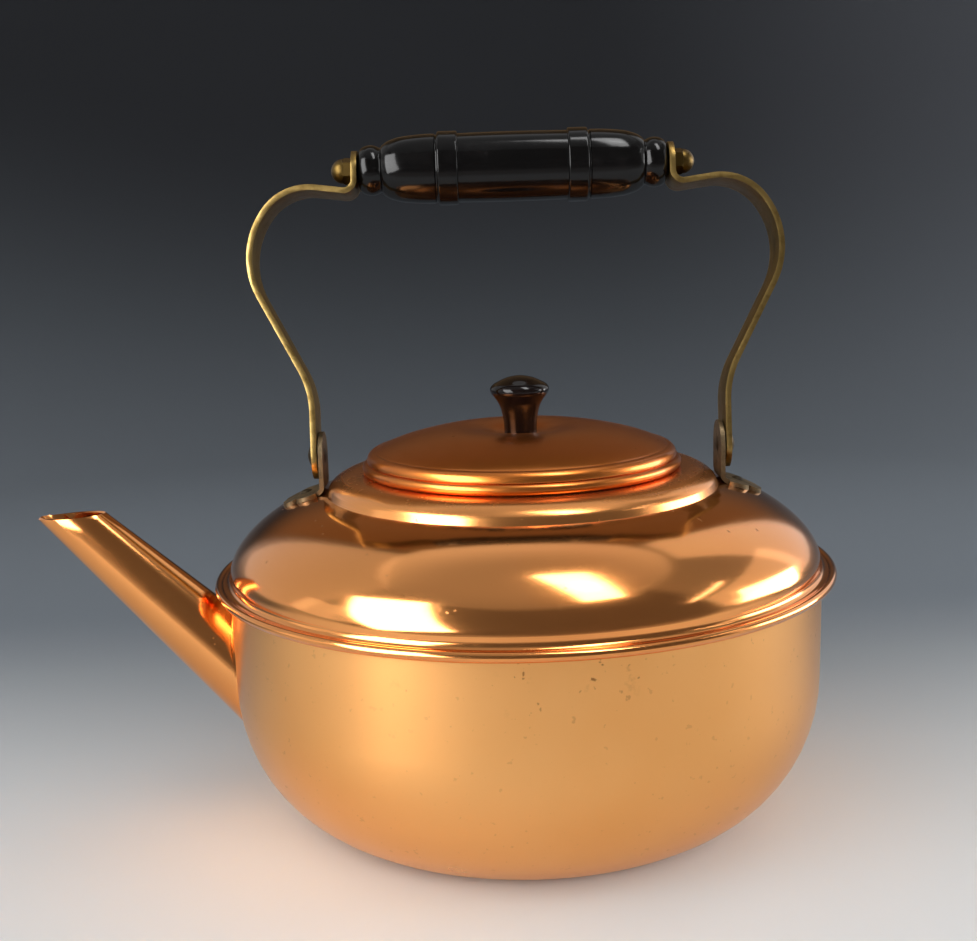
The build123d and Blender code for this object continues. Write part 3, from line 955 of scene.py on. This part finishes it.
class KETTLE_OT_lid(bpy.types.Operator):
    """Spins the lid with its band, groove and bead, and the sleeve under it"""
    bl_idname = "kettle.lid"
    bl_label = "Lid"

    def execute(self, context):
        sizes = context.scene.kettle_sizes
        sheet = sizes.sheet / MM
        bead = 2.0
        bead_r = LID_HIGH.x - bead
        bead_z = SEAT_Z + bead
        step_r, step_z = 52.4, 135.1
        crest_r, crest_z = 23.0, LID_HIGH.z
        dish_r, dish_z = 6.8, KNOB_LOW.z
        hole = 2.05
        skirt_r = sizes.neck_radius / MM - 0.4
        skirt_inner = skirt_r - 0.9
        skirt_low = SEAT_Z - 10.5
        lid = turned(
            "lid_sheet",
            line((hole, dish_z), (dish_r, dish_z)),
            flow((dish_r, dish_z), (14.5, 141.4), (crest_r, crest_z), (38.5, 139.7), (step_r, step_z),
                 start=(1, 0.1), end=(1, -0.48)),
            line((step_r + 0.5, step_z - 0.3)),
            flow((step_r + 0.5, step_z - 0.3), (55.4, 133.6), (bead_r + 0.3, bead_z + 2.3), start=(1, 0.1),
                 end=(0, -1)),
            line((bead_r, bead_z + bead)),
            arc((bead_r, bead_z), bead, 90, -90),
            line((skirt_r, SEAT_Z), (skirt_r, SEAT_Z + sheet), (step_r - 1.0, step_z - 1.4)),
            flow((step_r - 1.0, step_z - 1.4), (38.0, 138.4), (crest_r, crest_z - sheet), (14.8, 140.2),
                 (dish_r + 0.2, dish_z - sheet), start=(-1, 0.48), end=(-1, -0.1)),
            line((hole, dish_z - sheet)),
            closed=True, detail=12,
        )
        eased(lid, 0.22 * MM, angle=26)
        smooth(lid, 40)
        finished(lid, "lid", material("lid_copper"), "dome_copper", "lid_shell")

        skirt = turned(
            "lid_sleeve",
            line((skirt_r, SEAT_Z + sheet), (skirt_r, skirt_low), (skirt_inner, skirt_low),
                 (skirt_inner, SEAT_Z + sheet)),
            closed=True, detail=2,
        )
        eased(skirt, 0.2 * MM)
        smooth(skirt, 40)
        finished(skirt, "lid", material("bright_copper"), "dome_copper", "lid_skirt")
        return {"FINISHED"}


class KETTLE_OT_knob(bpy.types.Operator):
    """Turns the knob and dresses its washer and screw"""
    bl_idname = "kettle.knob"
    bl_label = "Knob"

    def execute(self, context):
        foot = KNOB_LOW.z
        top = KNOB_HIGH.z
        widest = KNOB_HIGH.x
        edge = (widest - 0.4, 153.9)
        shoulder = (9.0, 157.7)
        knob = turned(
            "turned_knob",
            line((0, foot), (5.9, foot)),
            flow((5.9, foot), (6.4, 146.0), (7.8, 150.4), edge, start=(0, 1), end=(0.8, 1)),
            flow(edge, (widest, 155.6), shoulder, start=(0.5, 1), end=(-1, 0.6)),
            flow(shoulder, (5.0, top - 0.85), (0, top), start=(-1, 0.45), end=(-1, 0)),
            detail=12, steps=128,
        )
        eased(knob, 0.2 * MM, angle=26)
        smooth(knob, 40)
        finished(knob, "lid", material("knob_lacquer"), "black_lacquer", "lid_knob")
        for node in ("knob_washer", "knob_screw"):
            dressed(node, material("plain_steel"))
        return {"FINISHED"}


# ---- stage -------------------------------------------------------------------------------------

KETTLE_MIDDLE = Vector((0, 0, 0.08))
CAMERA_PLACE = Vector((-12.1, -500.0, 216.3)) * MM
CAMERA_PITCH = math.radians(10.26)
CAMERA_ROLL = math.radians(-1.76)
FOCAL_PIXELS = 1390
IMAGE_WIDTH = 977
SENSOR = 36.0

FLOOR_RADIUS = 1.5
FLOOR_BEND = 0.7
WALL_TOP = 2.4
WINDOW_DISTANCE = 1.25
WINDOW_FOOT = 0.03
FILL_DISTANCE = 0.95
CORE_SHARE = (0.35, 0.3)

# Lamps that only polished metal mirrors: middle, two edges, radiance of the panel and of its brighter core.
SOFT_LAMPS = {
    "left": ((-0.69, -0.524, 0.60), Vector((0.324, -0.356, 0.229)), Vector((-0.029, 0.364, 1.023)), 9.0, 35.0),
    "above": ((0.302, -0.226, 1.218), Vector((0.281, 0.063, 0.158)), Vector((-0.005, 0.537, 0.287)), 9.0, 20.0),
    "right": ((1.0, 0.2, 0.30), Vector((0, 0.62, -0.22)), Vector((0, 0.12, 0.36)), 7.0, 15.0),
}
TUBE_LAMP = ((1.0, -0.2, 0.85), (0, 0.487, 0.09), (0, -0.0065, 0.035), 6.0)

# Upright panels: azimuth, width, height of the top, radiance.
WINDOWS = {
    "left": (-68, 1.3, 0.85, 0.5),
    "left_back": (-115, 1.3, 2.25, 0.28),
    "right": (100, 1.3, 0.95, 0.5),
    "right_low": (92, 0.6, 0.5, 0.9),
    "right_back": (133, 0.55, 1.9, 0.55),
}

# Lamps for the floor: azimuth, elevation, size, radiance.
FILLS = {
    "left": (-45, 30, (0.82, 0.61), 2.2),
    "front": (12, 20, (1.1, 0.34), 4.0),
    "right": (75, 24, (0.68, 0.48), 1.8),
}


def cove(stage):
    """A round floor whose edge sweeps up into a wall all round, coloured by direction and height."""
    flat = FLOOR_RADIUS - FLOOR_BEND
    outline = joined(line((0, 0), (flat, 0)), arc((flat, FLOOR_BEND), FLOOR_BEND, -90, 0),
                     line((FLOOR_RADIUS, WALL_TOP)))
    piece = drawn("studio_cove", outline, lambda p: (p.x, 0, p.y), detail=24)
    spun(piece, (0, 0, 0), (0, 0, 1), 128)
    smooth(piece, 60)
    s = Shader("stage_paper")
    x, y, z = s.split(s.place())
    radius = (x * x + y * y) ** 0.5

    # Paper behind the kettle: pale floor, slate, and night at the top.
    paper = s.mix(y.between(-0.08, 0.28), tuple(stage.floor), tuple(stage.slate))
    night = s.mix(x.between(0.1, 0.9), tuple(stage.night), [c * 4 for c in stage.night])
    paper = s.mix((y + z).between(0.35, 1.75), paper, night)

    # Walls beside it and in front, by direction: towards is 1 at the back and -1 in front.
    towards = y / (radius + 0.001)
    wall = s.mix(towards.between(-0.9, -0.2), tuple(stage.front_wall), tuple(stage.side_wall))
    wall = s.mix(z.between(0.7, 1.9) * 0.6, wall, tuple(stage.side_wall))
    beside = 1 - towards.between(0.80, 0.86)
    colour = s.mix(z.between(0.0, 0.35) * beside, paper, wall)

    # Painted reflections, seen only by mirrored rays: the floor far in front takes the front wall's darker colour,
    # and warm light lies over the paper.
    mirrored_only = s.node("ShaderNodeLightPath", {}, output="Is Glossy Ray")
    far_front = 1 - y.between(-0.54, -0.33)
    colour = s.mix(far_front * mirrored_only, colour, tuple(stage.front_wall))
    over_paper = z.between(0.2, 0.8) * towards.between(0.80, 0.86)
    colour = s.mix(over_paper * mirrored_only, colour, tuple(stage.mirrored_warmth))
    piece.data.materials.append(s.surface(Base_Color=colour, Roughness=0.85, Specular_IOR_Level=0.1))


def round_kettle(azimuth, elevation, distance):
    """A place seen from the kettle's middle. Azimuth 0 is in front and 90 to its right, in degrees."""
    around, up = math.radians(azimuth), math.radians(elevation)
    along = Vector((math.sin(around) * math.cos(up), -math.cos(around) * math.cos(up), math.sin(up)))
    return KETTLE_MIDDLE + along * distance


def panel(name, place, across, rise, radiance, lights=True, shows=True):
    """A soft panel lamp spanned by two edges at right angles, shining to the far side of across x rise.

    lights says that it lights dull surfaces, and shows that polished ones mirror it.
    """
    across, rise = Vector(across), Vector(rise)
    bpy.ops.object.select_all(action="DESELECT")
    bpy.ops.object.light_add(type="AREA", location=place)
    made = name_piece(bpy.context.active_object, name)
    sides = across.normalized(), rise.normalized()
    made.rotation_euler = Matrix((*sides, sides[0].cross(sides[1]))).transposed().to_euler()
    made.data.shape = "RECTANGLE"
    made.data.size, made.data.size_y = across.length, rise.length
    made.data.energy = radiance * across.length * rise.length * math.pi
    made.visible_camera = False
    made.visible_diffuse = lights
    made.visible_glossy = shows
    if shows and not lights:
        made.data.cycles.max_bounces = 1
    return made


def window(name, azimuth, width, top, radiance):
    """An upright panel that stands on the floor and faces the kettle."""
    around = math.radians(azimuth)
    out = Vector((math.sin(around), -math.cos(around), 0))
    place = out * WINDOW_DISTANCE + Vector((0, 0, (WINDOW_FOOT + top) / 2))
    across = Vector((-out.y, out.x, 0)) * width
    return panel(name, place, across, (0, 0, top - WINDOW_FOOT), radiance)


def fill(name, azimuth, elevation, size, radiance):
    """A wide panel that lights the floor softly and isn't mirrored in the metal."""
    place = round_kettle(azimuth, elevation, FILL_DISTANCE)
    out = (place - KETTLE_MIDDLE).normalized()
    across = Vector((0, 0, 1)).cross(out).normalized()
    return panel(name, place, across * size[0], out.cross(across) * size[1], radiance, shows=False)


def studio_world(stage):
    """Plain light from above, brighter over the back of the stage."""
    world = bpy.data.worlds.new("studio_world")
    bpy.context.scene.world = world
    s = Shader("studio_world", world)
    _, y, z = s.split(s.node("ShaderNodeTexCoord", {}, output="Generated"))
    rim = s.mix(y.between(-0.25, 0.55), (stage.front_light,) * 3, (stage.back_light,) * 3)
    colour = s.mix(z.between(0.84, 0.99), rim, (stage.top_light,) * 3)
    shade = s.node("ShaderNodeBackground", {}, colour, 1.0)
    s.node("ShaderNodeOutputWorld", {}, shade)


def stage_camera():
    """A camera half a metre in front, a little under the grip's height, tipped down and rolled slightly."""
    bpy.ops.object.camera_add()
    camera = name_piece(bpy.context.active_object, "stage_camera")
    look = Vector((0, math.cos(CAMERA_PITCH), -math.sin(CAMERA_PITCH)))
    level_up = Vector((0, math.sin(CAMERA_PITCH), math.cos(CAMERA_PITCH)))
    right = Vector((1, 0, 0)) * math.cos(CAMERA_ROLL) + level_up * math.sin(CAMERA_ROLL)
    up = right.cross(look)
    turn = Matrix((right, up, -look)).transposed().to_4x4()
    camera.matrix_world = Matrix.Translation(CAMERA_PLACE) @ turn
    camera.data.sensor_width = SENSOR
    camera.data.lens = SENSOR * FOCAL_PIXELS / IMAGE_WIDTH
    return camera


class KETTLE_OT_stage(bpy.types.Operator):
    """Sets the floor, the lamps and the camera"""
    bl_idname = "kettle.stage"
    bl_label = "Stage"

    def execute(self, context):
        stage = context.scene.kettle_stage
        cove(stage)
        level = stage.lamp_level
        for name, (place, across, rise, radiance, core) in SOFT_LAMPS.items():
            panel(f"soft_{name}", place, across, rise, radiance * level, lights=False)
            panel(f"core_{name}", place, across * CORE_SHARE[0], rise * CORE_SHARE[1], core * level, lights=False)
        place, across, rise, radiance = TUBE_LAMP
        panel("tube", place, across, rise, radiance * level, lights=False)
        for name, (azimuth, width, top, radiance) in WINDOWS.items():
            window(f"window_{name}", azimuth, width, top, radiance * level)
        for name, (azimuth, elevation, size, radiance) in FILLS.items():
            fill(f"fill_{name}", azimuth, elevation, size, radiance * level)
        studio_world(stage)
        context.scene.camera = stage_camera()
        context.scene.view_settings.view_transform = "Standard"
        return {"FINISHED"}


# ---- panel and run -----------------------------------------------------------------------------

OPERATORS = (KETTLE_OT_stage, KETTLE_OT_bowl, KETTLE_OT_dome, KETTLE_OT_seam, KETTLE_OT_spout, KETTLE_OT_lugs,
             KETTLE_OT_straps, KETTLE_OT_grip, KETTLE_OT_nuts, KETTLE_OT_lid, KETTLE_OT_knob)


class KETTLE_PT_panel(bpy.types.Panel):
    """Lists the kettle's sizes, finishes and operators"""
    bl_idname = "KETTLE_PT_panel"
    bl_label = "Copper Kettle"
    bl_space_type = "VIEW_3D"
    bl_region_type = "UI"
    bl_category = "Kettle"

    def draw(self, context):
        scene = context.scene
        for group in (scene.kettle_sizes, scene.kettle_finish, scene.kettle_stage):
            box = self.layout.box()
            for key in group.__annotations__:
                box.prop(group, key)
        for operator in OPERATORS:
            self.layout.operator(operator.bl_idname)


CLASSES = (KettleSizes, KettleFinish, StageSettings, *OPERATORS, KETTLE_PT_panel)


def register():
    """Registers the classes and hangs their settings on the scene."""
    for cls in CLASSES:
        bpy.utils.register_class(cls)
    bpy.types.Scene.kettle_sizes = bpy.props.PointerProperty(type=KettleSizes)
    bpy.types.Scene.kettle_finish = bpy.props.PointerProperty(type=KettleFinish)
    bpy.types.Scene.kettle_stage = bpy.props.PointerProperty(type=StageSettings)


def unregister():
    """Takes the settings and the classes away again."""
    del bpy.types.Scene.kettle_stage
    del bpy.types.Scene.kettle_finish
    del bpy.types.Scene.kettle_sizes
    for cls in reversed(CLASSES):
        bpy.utils.unregister_class(cls)


def main():
    register()
    bpy.ops.kettle.stage()
    bpy.ops.kettle.bowl()
    bpy.ops.kettle.dome()
    bpy.ops.kettle.seam()
    bpy.ops.kettle.spout()
    bpy.ops.kettle.lugs()
    bpy.ops.kettle.straps()
    bpy.ops.kettle.grip()
    bpy.ops.kettle.nuts()
    bpy.ops.kettle.lid()
    bpy.ops.kettle.knob()


if __name__ == "__main__":
    main()
